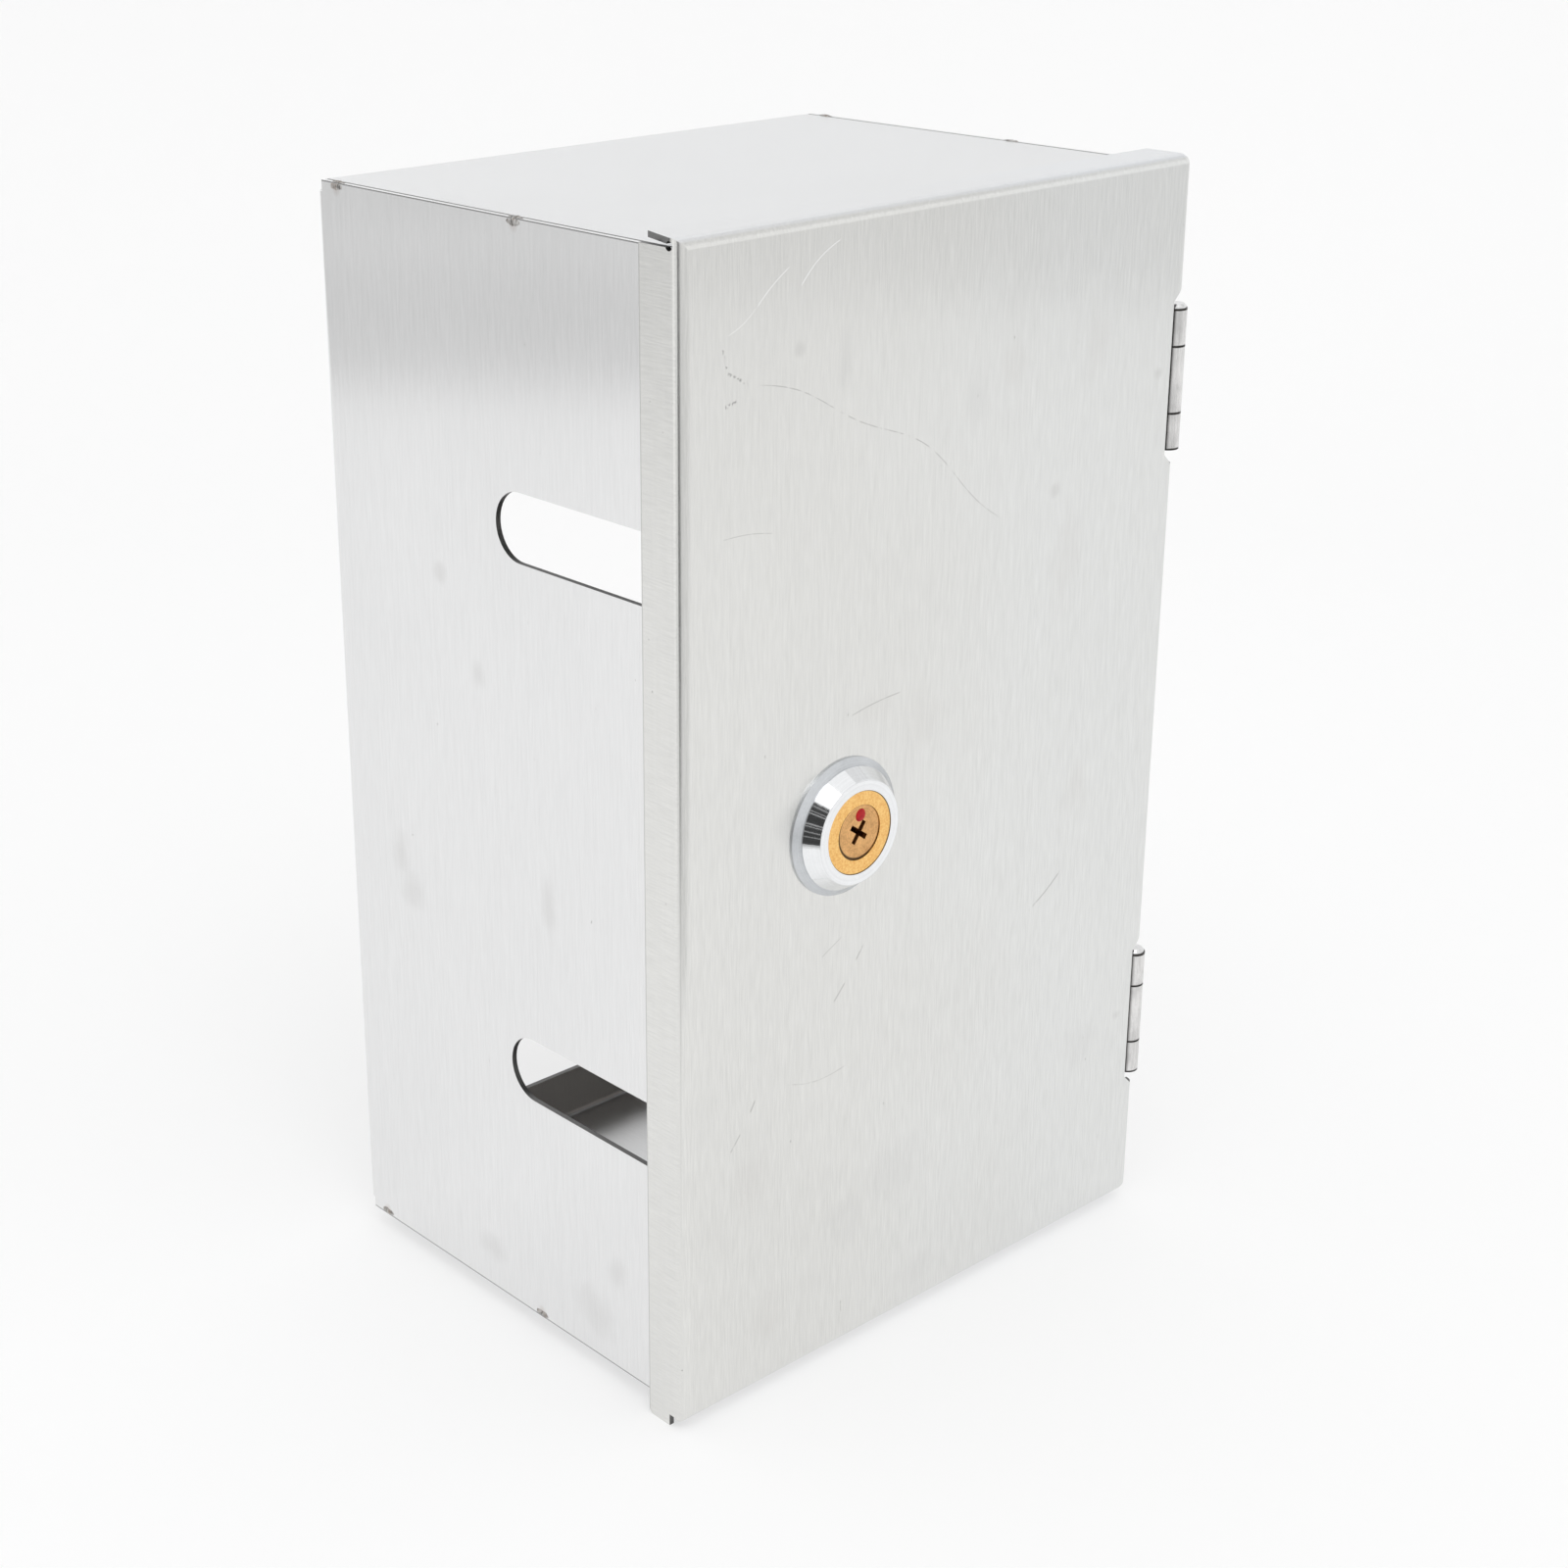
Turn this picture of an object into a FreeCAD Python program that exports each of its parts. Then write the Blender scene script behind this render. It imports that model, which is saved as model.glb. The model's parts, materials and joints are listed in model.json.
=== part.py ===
"""Wall lock box of folded stainless sheet: open-backed tray, hinged pan door and cam lock.

Millimetres, +Z up. X runs from the door's left edge to the hinges, Y from the door's face to the wall.
Pieces are laid out from the door's lower front left corner and moved to the origin on export.
"""
import FreeCAD
import Part
import math
import os

V = FreeCAD.Vector

# Door pan
door_width = 119.8
door_height = 205.4
flange_depth = 9.1
door_sheet = 1.0
door_bend_radius = 2.0
top_flange_inset = 1.9
left_flange_inset = 1.5
left_flange_drop = 1.9
left_flange_setback = 1.8
left_flange_round = 1.2
left_flange_notch = 0.35
bottom_flange_gap = 0.4
relief_radius = 0.75
relief_setback = 0.3

# Box body
overall_depth = 95.1
body_sheet = 1.0
body_bend_radius = 2.0
side_gap = 0.2
end_gap = 0.87
front_gap = 1.8
seam_gap = 0.25
back_frame_width = 11.4
window_corner_radius = 3.0
wall_hole_diameter = 5.0
wall_hole_inset = 6.7
slot_height = 12.2
slot_end_depth = 47.2
slot_pitch = 100.1

# Weld beads along the corner seams
weld_radius = 0.95
weld_length = 3.6
front_weld_depth = 40.5
rear_weld_inset = 6.3

# Hinges
hinge_pitch = 125.9
hinge_length = 25.6
door_knuckle_length = 12.0
knuckle_gap = 0.15
knuckle_radius = 2.1
hinge_leaf_thickness = 1.0
hinge_leaf_width = 11.0
hinge_pin_radius = 1.15
hinge_pin_fit = 0.04
pin_head_radius = 1.9
pin_head_height = 0.75
pin_head_bevel = 0.45
hinge_clearance = 0.35
notch_end_clearance = 0.65
notch_chamfer = 1.9

# Lock, set on the door's mid height
lock_x = 36.3
base_ring_radius = 12.2
base_ring_height = 1.2
base_ring_edge = 0.35
base_ring_bevel = 1.2
head_radius = 10.9
head_face_radius = 9.2
head_height = 2.8
head_rim = 0.25
head_edge_round = 0.2
barrel_radius = 9.25
barrel_flats = 16.4
barrel_length = 18.0
mounting_clearance = 0.15
core_radius = 7.4
core_recess = 0.12
core_fit = 0.02
lock_nut_flats = 24.0
lock_nut_height = 4.5
lock_nut_fit = 0.05
lock_washer_height = 0.8
lock_washer_width = 2.3
lock_washer_teeth = 12
lock_washer_tooth_gap = 1.3

# Plug, keyway and pins
plug_head_radius = 4.85
plug_head_length = 2.5
plug_radius = 4.3
plug_recess = 0.3
plug_fit = 0.05
key_span = 4.4
key_slot = 0.95
key_angle = 54.0
key_depth = 15.0
pin_rows = 4
pins_per_row = 2
pin_pitch = 4.6
first_pin_depth = 6.0
pin_radius = 0.8
pin_fit = 0.03
key_pin_length = 2.2
driver_pin_length = 1.4
spring_radius = 0.65

# Cam train on the plug's tail
tail_square = 6.0
tail_fit = 0.05
tail_gap = 0.2
stud_radius = 2.5
stud_length = 5.0
stop_radius = 8.0
stop_thickness = 1.2
stop_tab_reach = 0.9
stop_tab_width = 2.4
stop_tab_height = 1.2
stop_clearance = 0.3
turn_angle = 90.0
cam_thickness = 2.0
cam_hub_radius = 7.0
cam_width = 11.0
cam_length = 31.0
cam_washer_height = 1.0
cam_washer_radius = 4.6
cam_washer_split = 0.8
cam_nut_flats = 8.0
cam_nut_height = 3.2
stud_fit = 0.05

# Catch bracket behind which the cam turns
catch_thickness = 1.2
catch_height = 18.0
catch_lip = 7.5
catch_leg = 13.0
catch_bend_radius = 2.0
catch_clearance = 0.6
catch_weld_radius = 0.9
catch_weld_length = 6.0

# Places that follow from the sizes above
overrun = 5.0
mid_height = door_height / 2
body_left = door_sheet + side_gap
body_right = door_width - door_sheet - side_gap
body_bottom = door_sheet + end_gap
body_top = door_height - door_sheet - end_gap
body_front = door_sheet + front_gap
hinge_x = body_right + hinge_leaf_thickness / 2
hinge_y = door_sheet + hinge_leaf_thickness / 2
hinge_heights = {"lower": mid_height - hinge_pitch / 2, "upper": mid_height + hinge_pitch / 2}
head_front = -base_ring_height - head_height
core_front = head_front + core_recess
plug_front = head_front + plug_recess
stop_front = barrel_length + tail_gap
cam_front = stop_front + stop_thickness
cam_back = cam_front + cam_thickness
cam_nut_front = cam_back + cam_washer_height
stud_end = cam_back + stud_length
lock_axis = V(lock_x, 0, mid_height)
row_angles = [key_angle + 360.0 / pin_rows * row for row in range(pin_rows)]
pin_depths = [plug_front + first_pin_depth + pin_pitch * n for n in range(pins_per_row)]

# The origin is the middle of the whole part's footprint, on the surface that it stands on
left_limit = 0.0
right_limit = max(door_width, hinge_x + knuckle_radius)
origin = V((left_limit + right_limit) / 2, (head_front + overall_depth) / 2, -left_flange_drop)


def box(x0, x1, y0, y1, z0, z1):
    """A block between two opposite corners."""
    return Part.makeBox(x1 - x0, y1 - y0, z1 - z0, V(x0, y0, z0))


def rod(radius, start, end):
    """A round bar between two points."""
    return Part.makeCylinder(radius, (end - start).Length, start, end - start)


def prism(points, along):
    """A straight extrusion of a polygon."""
    return Part.Face(Part.makePolygon(points + points[:1])).extrude(along)


def joined(first, *others):
    """One solid from several that meet."""
    return first.fuse(list(others)).removeSplitter()


def rounded(solid, radius, middles):
    """Rounds the edges that pass through the given points."""
    edges = [e for e in solid.Edges
             if any(e.distToShape(Part.Vertex(p))[0] < 1e-6 for p in middles)]
    return solid.makeFillet(radius, edges)


def on_lock_axis(y):
    """The point of the lock's axis at depth y."""
    return V(lock_x, y, mid_height)


def off_lock_axis(radius, angle, y):
    """A point at a radius from the lock's axis; angles run from +Z towards -X, as the lock turns."""
    turn = math.radians(angle)
    return V(lock_x - radius * math.sin(turn), y, mid_height + radius * math.cos(turn))


def turned(profile, angle=360.0):
    """Revolves a closed (radius, depth) profile about the lock's axis."""
    points = [V(lock_x + radius, y, mid_height) for radius, y in profile]
    face = Part.Face(Part.makePolygon(points + points[:1]))
    return face.revolve(lock_axis, V(0, 1, 0), angle)


def hexagon(flats, y0, y1, chamfer):
    """A hexagon bar on the lock's axis with its corners turned down at both ends."""
    corner = flats / math.sqrt(3)
    bar = prism([off_lock_axis(corner, 60 * n, y0) for n in range(6)], V(0, y1 - y0, 0))
    blank = turned([(0, y0), (corner - chamfer, y0), (corner, y0 + chamfer), (corner, y1 - chamfer),
                    (corner - chamfer, y1), (0, y1)])
    return bar.common(blank)


def square_bar(size, y0, y1):
    """A square bar on the lock's axis."""
    half = size / 2
    return box(lock_x - half, lock_x + half, y0, y1, mid_height - half, mid_height + half)


def folded_pan(x0, x1, y0, y1, z0, z1, sheet, radius, face_y, round_right=False):
    """A pan of sheet with four walls; its face is at face_y and the other end in Y is open."""
    inward = sheet if face_y == y0 else -sheet
    inner_y = [y0 + inward, y1 + overrun] if face_y == y0 else [y0 - overrun, y1 + inward]
    outer = rounded_face_block(x0, x1, y0, y1, z0, z1, radius, face_y, round_right)
    inner = rounded_face_block(x0 + sheet, x1 - sheet, *inner_y, z0 + sheet, z1 - sheet,
                               radius - sheet, face_y + inward, round_right)
    return outer.cut(inner)


def rounded_face_block(x0, x1, y0, y1, z0, z1, radius, face_y, round_right):
    """A block with the four edges of one Y face rounded, and its two right-hand corners if asked."""
    xm = (x0 + x1) / 2
    ym = (y0 + y1) / 2
    zm = (z0 + z1) / 2
    middles = [V(x0, face_y, zm), V(x1, face_y, zm), V(xm, face_y, z0), V(xm, face_y, z1)]
    if round_right:
        middles += [V(x1, ym, z0), V(x1, ym, z1)]
    return rounded(box(x0, x1, y0, y1, z0, z1), radius, middles)


def both_ends(z0, z1):
    """Mirrors a span of heights in the box's mid height: the lower copy, then the upper."""
    return [(z0, z1), (2 * mid_height - z1, 2 * mid_height - z0)]


def make_door_panel():
    pan = folded_pan(0, door_width, 0, flange_depth, 0, door_height, door_sheet, door_bend_radius, 0,
                     round_right=True)
    # The hinge side keeps only the bend as a lip, so that it can swing past the right wall
    pan = pan.cut(box(door_width - door_bend_radius, door_width + overrun, door_bend_radius,
                      flange_depth + overrun, door_sheet, door_height - door_sheet))
    pan = joined(pan.cut(upper_corner_relief()).cut(lower_corner_relief()), left_flange_foot())
    for height in hinge_heights.values():
        pan = pan.cut(hinge_notch(height))
    hole = rod(barrel_radius + mounting_clearance, on_lock_axis(-overrun), on_lock_axis(overrun))
    half = barrel_flats / 2 + mounting_clearance
    hole = hole.common(box(lock_x - half, lock_x + half, -overrun, overrun, 0, door_height))
    return pan.cut(hole)


def upper_corner_relief():
    """The cut between the left and top flanges: a round hole through the bend, from which both flanges' ends
    run back; the top flange's end slants away."""
    start = door_bend_radius + relief_setback
    rear = flange_depth + overrun
    flange_top = door_height - left_flange_inset
    sheet_under = door_height - door_sheet
    gap = box(-overrun, door_bend_radius, start, rear, flange_top, sheet_under)
    end_line = [(-overrun, start), (0, start), (top_flange_inset, flange_depth), (top_flange_inset, rear),
                (-overrun, rear)]
    slant = prism([V(x, y, sheet_under) for x, y in end_line], V(0, 0, door_sheet + overrun))
    hole = V(-overrun, start, (flange_top + sheet_under) / 2)
    return joined(gap, slant, rod(relief_radius, hole, hole + V(overrun + door_bend_radius, 0, 0)))


def lower_corner_relief():
    """The cut that frees the left flange's lower end from the bottom flange."""
    start = door_bend_radius + relief_setback
    rear = flange_depth + overrun
    notch = box(-overrun, door_sheet, start, rear, -overrun, left_flange_notch)
    return joined(notch, box(door_sheet, door_sheet + bottom_flange_gap, start, rear, -overrun, door_sheet))


def left_flange_foot():
    """The rear part of the left flange, which hangs a little below the door with a rounded corner."""
    foot = box(0, door_sheet, door_bend_radius + left_flange_setback, flange_depth, -left_flange_drop,
               left_flange_notch)
    return rounded(foot, left_flange_round, [V(door_sheet / 2, flange_depth, -left_flange_drop)])


def hinge_notch(height):
    """The cut in the door's right edge that clears a hinge's knuckles."""
    inner_x = hinge_x - knuckle_radius - hinge_clearance
    outer_x = inner_x + notch_chamfer
    end_x = right_limit + overrun
    half = hinge_length / 2 + pin_head_height / 2 + notch_end_clearance
    lift = pin_head_height / 2
    outline = [(inner_x, -half), (outer_x, -half - notch_chamfer), (end_x, -half - notch_chamfer),
               (end_x, half + notch_chamfer), (outer_x, half + notch_chamfer), (inner_x, half)]
    points = [V(x, -overrun, height + lift + z) for x, z in outline]
    return prism(points, V(0, flange_depth + 2 * overrun, 0))


def make_body_shell():
    tray = folded_pan(body_left, body_right, body_front, overall_depth, body_bottom, body_top,
                      body_sheet, body_bend_radius, overall_depth)
    bend_front = overall_depth - body_bend_radius
    middle_x = (body_left + body_right) / 2
    # Corner seams: the side walls run the full height and the bends stop short of each other
    for inner_x, outward in ((body_left + body_sheet, -1), (body_right - body_sheet, 1)):
        seam = sorted((inner_x, inner_x - outward * seam_gap))
        corner = sorted((inner_x + outward * (body_sheet + overrun),
                         inner_x + outward * (body_sheet - body_bend_radius)))
        for z0, z1 in both_ends(body_bottom - overrun, body_bottom + body_sheet):
            tray = tray.cut(box(*seam, body_front - overrun, overall_depth, z0, z1))
        for z0, z1 in both_ends(body_bottom - overrun, body_bottom + body_bend_radius):
            tray = tray.cut(box(*corner, bend_front, overall_depth + overrun, z0, z1))
    window = box(body_left + back_frame_width, body_right - back_frame_width, bend_front,
                 overall_depth + overrun, body_bottom + back_frame_width, body_top - back_frame_width)
    middle_y = (bend_front + overall_depth + overrun) / 2
    corners = [V(x, middle_y, z)
               for x in (body_left + back_frame_width, body_right - back_frame_width)
               for z in (body_bottom + back_frame_width, body_top - back_frame_width)]
    tray = tray.cut(rounded(window, window_corner_radius, corners))
    for x in (body_left + wall_hole_inset, body_right - wall_hole_inset):
        for z in (body_bottom + wall_hole_inset, body_top - wall_hole_inset):
            tray = tray.cut(rod(wall_hole_diameter / 2, V(x, bend_front, z),
                                V(x, overall_depth + overrun, z)))
    for height in (mid_height - slot_pitch / 2, mid_height + slot_pitch / 2):
        tray = tray.cut(cable_slot(height))
    # The right wall's front edge stands back where the knuckles turn
    for height in hinge_heights.values():
        half = hinge_length / 2 + pin_head_height + notch_end_clearance
        tray = tray.cut(box(middle_x, body_right + overrun, 0,
                            hinge_y + knuckle_radius + hinge_clearance, height - half, height + half))
    return tray


def cable_slot(height):
    """A slot through the left wall, open at the wall's front edge and round at its rear end."""
    radius = slot_height / 2
    end_y = slot_end_depth - radius
    start = V(body_left - overrun, end_y, height)
    slot = box(body_left - overrun, body_left + body_sheet + overrun, body_front - overrun, end_y,
               height - radius, height + radius)
    return joined(slot, rod(radius, start, start + V(body_sheet + 2 * overrun, 0, 0)))


def make_corner_tack_welds(shell):
    """Beads across the four corner seams, as separate solids that fill the seam and crown over it."""
    welds = []
    half = V(0, weld_length / 2, 0)
    for seam_x in (body_left + body_sheet, body_right - body_sheet):
        for seam_z, down in ((body_top, -1), (body_bottom, 1)):
            for depth in (front_weld_depth, overall_depth - rear_weld_inset):
                centre = V(seam_x, depth, seam_z + down * weld_radius / 2)
                welds.append(rod(weld_radius, centre - half, centre + half).cut(shell))
    return welds


def make_latch_catch():
    """An L bracket on the left wall; its lip stands in front of the turned cam."""
    wall_x = body_left + body_sheet
    front = cam_front - catch_clearance - catch_thickness
    z0 = mid_height - catch_height / 2
    z1 = mid_height + catch_height / 2
    leg = box(wall_x, wall_x + catch_thickness, front, front + catch_leg, z0, z1)
    lip = box(wall_x, wall_x + catch_lip, front, front + catch_thickness, z0, z1)
    bracket = rounded(joined(leg, lip), catch_bend_radius, [V(wall_x, front, mid_height)])
    inner = V(wall_x + catch_thickness, front + catch_thickness, mid_height)
    return rounded(bracket, catch_bend_radius - catch_thickness, [inner])


def make_catch_tack_welds(shell, catch):
    """Two beads along the bracket's upper and lower edges."""
    wall_x = body_left + body_sheet
    middle_y = cam_front - catch_clearance - catch_thickness + catch_leg / 2 + catch_bend_radius / 2
    half = V(0, catch_weld_length / 2, 0)
    welds = []
    for z in (mid_height - catch_height / 2, mid_height + catch_height / 2):
        centre = V(wall_x, middle_y, z)
        welds.append(rod(catch_weld_radius, centre - half, centre + half).cut(shell).cut(catch))
    return [solid for weld in welds for solid in inside_only(weld)]


def inside_only(weld):
    """The solids of a weld that lie inside the box, not beyond its wall."""
    return [s for s in weld.Solids if s.CenterOfMass.x > body_left + body_sheet]


def knuckle(z0, z1):
    """A rolled knuckle before its bore is made."""
    return rod(knuckle_radius, V(hinge_x, hinge_y, z0), V(hinge_x, hinge_y, z1))


def knuckle_bore(height):
    """The bore for the hinge pin, through the whole hinge."""
    reach = V(0, 0, hinge_length)
    centre = V(hinge_x, hinge_y, height)
    return rod(hinge_pin_radius + hinge_pin_fit, centre - reach, centre + reach)


def make_hinge_body_leaf(height):
    """A leaf on the right wall's outer face, with the knuckles at both ends of the hinge."""
    half = hinge_length / 2
    split = door_knuckle_length / 2 + knuckle_gap
    x0 = hinge_x - hinge_leaf_thickness / 2
    x1 = hinge_x + hinge_leaf_thickness / 2
    plate_front = hinge_y + knuckle_radius + hinge_clearance
    leaf = box(x0, x1, plate_front, hinge_y + hinge_leaf_width, height - half, height + half)
    for z0, z1 in ((height - half, height - split), (height + split, height + half)):
        leaf = joined(leaf, knuckle(z0, z1), box(x0, x1, hinge_y, plate_front, z0, z1))
    return leaf.cut(knuckle_bore(height))


def make_hinge_door_leaf(height):
    """A leaf on the door's inner face, with the knuckle in the middle of the hinge."""
    half = hinge_length / 2
    split = door_knuckle_length / 2
    y0 = hinge_y - hinge_leaf_thickness / 2
    y1 = hinge_y + hinge_leaf_thickness / 2
    plate_end = hinge_x - knuckle_radius - hinge_clearance
    leaf = box(hinge_x - hinge_leaf_width, plate_end, y0, y1, height - half, height + half)
    leaf = joined(leaf, knuckle(height - split, height + split),
                  box(plate_end, hinge_x, y0, y1, height - split, height + split))
    return leaf.cut(knuckle_bore(height))


def make_hinge_pin(height):
    """A pin with a low bevelled head that sits on the top knuckle."""
    bottom = V(hinge_x, hinge_y, height - hinge_length / 2)
    top = V(hinge_x, hinge_y, height + hinge_length / 2)
    rim = top + V(0, 0, pin_head_height - pin_head_bevel)
    bevel = Part.makeCone(pin_head_radius, pin_head_radius - pin_head_bevel, pin_head_bevel, rim)
    return joined(rod(hinge_pin_radius, bottom, top), rod(pin_head_radius, top, rim), bevel)


def make_lock_base_ring():
    """The seat ring between the door's face and the lock's head."""
    bore = barrel_radius + mounting_clearance
    return turned([(bore, 0), (base_ring_radius, 0), (base_ring_radius, -base_ring_edge),
                   (base_ring_radius - base_ring_bevel, -base_ring_height), (bore, -base_ring_height)])


def make_lock_shell():
    """Bevelled head and barrel in one piece; the barrel has two flats and a recess for the stop tab."""
    bore = core_radius + core_fit
    rim = -base_ring_height - head_rim
    shell = turned([(bore, head_front), (head_face_radius, head_front), (head_radius, rim),
                    (head_radius, -base_ring_height), (barrel_radius, -base_ring_height),
                    (barrel_radius, barrel_length), (bore, barrel_length)])
    shell = rounded(shell, head_edge_round, [V(lock_x - head_face_radius, head_front, mid_height)])
    for side in (-1, 1):
        flat = sorted((lock_x + side * barrel_flats / 2, lock_x + side * (barrel_radius + overrun)))
        shell = shell.cut(box(*flat, -base_ring_height, barrel_length + overrun, 0, door_height))
    return shell.cut(stop_recess())


def stop_recess():
    """The quarter-turn recess in the barrel's end, in which the stop washer's tab travels."""
    margin = math.degrees((stop_tab_width / 2 + stop_clearance) / stop_radius)
    inner = core_radius
    outer = barrel_radius + overrun
    sector = turned([(inner, barrel_length - stop_tab_height - stop_clearance),
                     (outer, barrel_length - stop_tab_height - stop_clearance),
                     (outer, barrel_length + overrun), (inner, barrel_length + overrun)],
                    turn_angle + 2 * margin)
    # The profile starts on +X and turns towards -Z, so the sector is set back by its margin
    return sector.rotate(lock_axis, V(0, 1, 0), -margin)


def make_lock_core():
    """The brass cylinder in the shell: a counterbored bore for the plug and radial holes for the pins."""
    bore = plug_radius + plug_fit
    head_bore = plug_head_radius + plug_fit
    shoulder = plug_front + plug_head_length
    core = turned([(head_bore, core_front), (core_radius, core_front), (core_radius, barrel_length),
                   (bore, barrel_length), (bore, shoulder), (head_bore, shoulder)])
    for hole in pin_holes(plug_radius, core_radius + overrun):
        core = core.cut(hole)
    return core


def pin_holes(inner, outer):
    """Radial holes of all pin stacks between two radii."""
    return radial_rods(pin_radius + pin_fit, inner, outer)


def radial_rods(radius, inner, outer):
    """A round bar for each pin stack, between two distances from the lock's axis."""
    return [rod(radius, off_lock_axis(inner, angle, y), off_lock_axis(outer, angle, y))
            for angle in row_angles for y in pin_depths]


def key_pin_end():
    """How far from the axis a key pin's flat end lies, just inside the plug's surface."""
    return math.sqrt(plug_radius ** 2 - pin_radius ** 2) - pin_fit


def driver_pin_start():
    """How far from the axis a driver pin starts, just outside the plug's bore."""
    return plug_radius + 2 * plug_fit


def make_lock_plug():
    """Plug with a head that seats in the core, a cross keyway, a square tail and a stud."""
    seat = plug_front + plug_head_length - plug_fit
    plug = joined(rod(plug_head_radius, on_lock_axis(plug_front), on_lock_axis(seat)),
                  rod(plug_radius, on_lock_axis(seat), on_lock_axis(barrel_length + tail_gap)),
                  square_bar(tail_square, barrel_length + tail_gap, cam_back),
                  rod(stud_radius, on_lock_axis(cam_back), on_lock_axis(stud_end)))
    for angle in (key_angle, key_angle + 90):
        arm = box(lock_x - key_slot / 2, lock_x + key_slot / 2, plug_front - overrun,
                  plug_front + key_depth, mid_height - key_span / 2, mid_height + key_span / 2)
        plug = plug.cut(arm.rotate(lock_axis, V(0, -1, 0), angle))
    for hole in pin_holes(key_pin_end() - key_pin_length - pin_fit, plug_radius + overrun):
        plug = plug.cut(hole)
    return plug


def make_key_pins():
    return radial_rods(pin_radius, key_pin_end() - key_pin_length, key_pin_end())


def make_driver_pins():
    return radial_rods(pin_radius, driver_pin_start(), driver_pin_start() + driver_pin_length)


def make_pin_springs():
    """The small coils behind the driver pins, as plain bars of the coil's size."""
    end = math.sqrt(core_radius ** 2 - spring_radius ** 2)
    return radial_rods(spring_radius, driver_pin_start() + driver_pin_length, end)


def make_lock_washer():
    """Toothed washer between the door and the lock's nut."""
    bore = barrel_radius + mounting_clearance
    outer = bore + lock_washer_width
    y0 = door_sheet
    y1 = y0 + lock_washer_height
    washer = turned([(bore, y0), (outer, y0), (outer, y1), (bore, y1)])
    half = lock_washer_tooth_gap / 2
    root = bore + lock_washer_width / 2
    for n in range(lock_washer_teeth):
        gap = box(lock_x - half, lock_x + half, y0 - overrun, y1 + overrun, mid_height + root,
                  mid_height + outer + overrun)
        washer = washer.cut(gap.rotate(lock_axis, V(0, 1, 0), 360.0 / lock_washer_teeth * n))
    return washer


def make_lock_nut():
    y0 = door_sheet + lock_washer_height
    y1 = y0 + lock_nut_height
    chamfer = lock_nut_height / 6
    bore = rod(barrel_radius + lock_nut_fit, on_lock_axis(y0 - overrun), on_lock_axis(y1 + overrun))
    return hexagon(lock_nut_flats, y0, y1, chamfer).cut(bore)


def make_stop_washer():
    """Washer on the square tail whose tab reaches into the barrel's recess."""
    washer = rod(stop_radius, on_lock_axis(stop_front), on_lock_axis(cam_front))
    half = stop_tab_width / 2
    tab_outer = stop_radius + stop_tab_reach
    tab_inner = core_radius + stop_clearance
    tab = box(lock_x - half, lock_x + half, barrel_length - stop_tab_height, cam_front,
              mid_height - tab_outer, mid_height - tab_inner)
    tail = square_bar(tail_square + 2 * tail_fit, stop_front - overrun, cam_front + overrun)
    return joined(washer, tab).cut(tail)


def make_lock_cam():
    """Flat cam that points up when unlocked."""
    tip_radius = cam_width / 2
    tip = on_lock_axis(cam_front) + V(0, 0, cam_length - tip_radius)
    arm = box(lock_x - cam_width / 2, lock_x + cam_width / 2, cam_front, cam_back, mid_height, tip.z)
    cam = joined(rod(cam_hub_radius, on_lock_axis(cam_front), on_lock_axis(cam_back)), arm,
                 rod(tip_radius, tip, tip + V(0, cam_thickness, 0)))
    return cam.cut(square_bar(tail_square + 2 * tail_fit, cam_front - overrun, cam_back + overrun))


def make_cam_washer():
    """Split spring washer under the cam's nut."""
    bore = stud_radius + stud_fit
    washer = turned([(bore, cam_back), (cam_washer_radius, cam_back),
                     (cam_washer_radius, cam_nut_front), (bore, cam_nut_front)])
    return washer.cut(box(lock_x, lock_x + cam_washer_radius + overrun, cam_back - overrun,
                          cam_nut_front + overrun, mid_height - cam_washer_split / 2,
                          mid_height + cam_washer_split / 2))


def make_cam_nut():
    end = cam_nut_front + cam_nut_height
    bore = rod(stud_radius + stud_fit, on_lock_axis(cam_nut_front - overrun), on_lock_axis(end + overrun))
    return hexagon(cam_nut_flats, cam_nut_front, end, cam_nut_height / 8).cut(bore)


def build():
    """All nodes by name: a solid, or a list of separate solids."""
    shell = make_body_shell()
    catch = make_latch_catch()
    nodes = {
        "body_shell": shell,
        "corner_tack_welds": make_corner_tack_welds(shell),
        "latch_catch": catch,
        "catch_tack_welds": make_catch_tack_welds(shell, catch),
        "door_panel": make_door_panel(),
        "lock_base_ring": make_lock_base_ring(),
        "lock_shell": make_lock_shell(),
        "lock_core": make_lock_core(),
        "driver_pins": make_driver_pins(),
        "pin_springs": make_pin_springs(),
        "lock_washer": make_lock_washer(),
        "lock_nut": make_lock_nut(),
        "lock_plug": make_lock_plug(),
        "key_pins": make_key_pins(),
        "stop_washer": make_stop_washer(),
        "lock_cam": make_lock_cam(),
        "cam_washer": make_cam_washer(),
        "cam_nut": make_cam_nut(),
    }
    for name, height in hinge_heights.items():
        nodes[name + "_hinge_body_leaf"] = make_hinge_body_leaf(height)
        nodes[name + "_hinge_door_leaf"] = make_hinge_door_leaf(height)
        nodes[name + "_hinge_pin"] = make_hinge_pin(height)
    return nodes


def export(nodes):
    """Writes one STEP file per node, moved to the part's origin."""
    os.makedirs("parts", exist_ok=True)
    for name, shape in nodes.items():
        solids = shape if isinstance(shape, list) else [shape]
        flat = [solid for item in solids for solid in item.Solids]
        whole = flat[0] if len(flat) == 1 else Part.makeCompound(flat)
        whole.translate(origin * -1)
        whole.exportStep(os.path.join("parts", name + ".step"))
        print(name, len(flat), "solids", round(whole.Volume, 2), "mm3", "valid" if whole.isValid() else "BAD")


export(build())
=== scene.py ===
"""Looks of a wall lock box of brushed stainless sheet: camera, studio, finishes and small added pieces.

Metres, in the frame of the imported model. Lengths are written in millimetres times MM.
"""
import bmesh
import bpy
import json
import math
from mathutils import Matrix, Vector, noise


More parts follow.
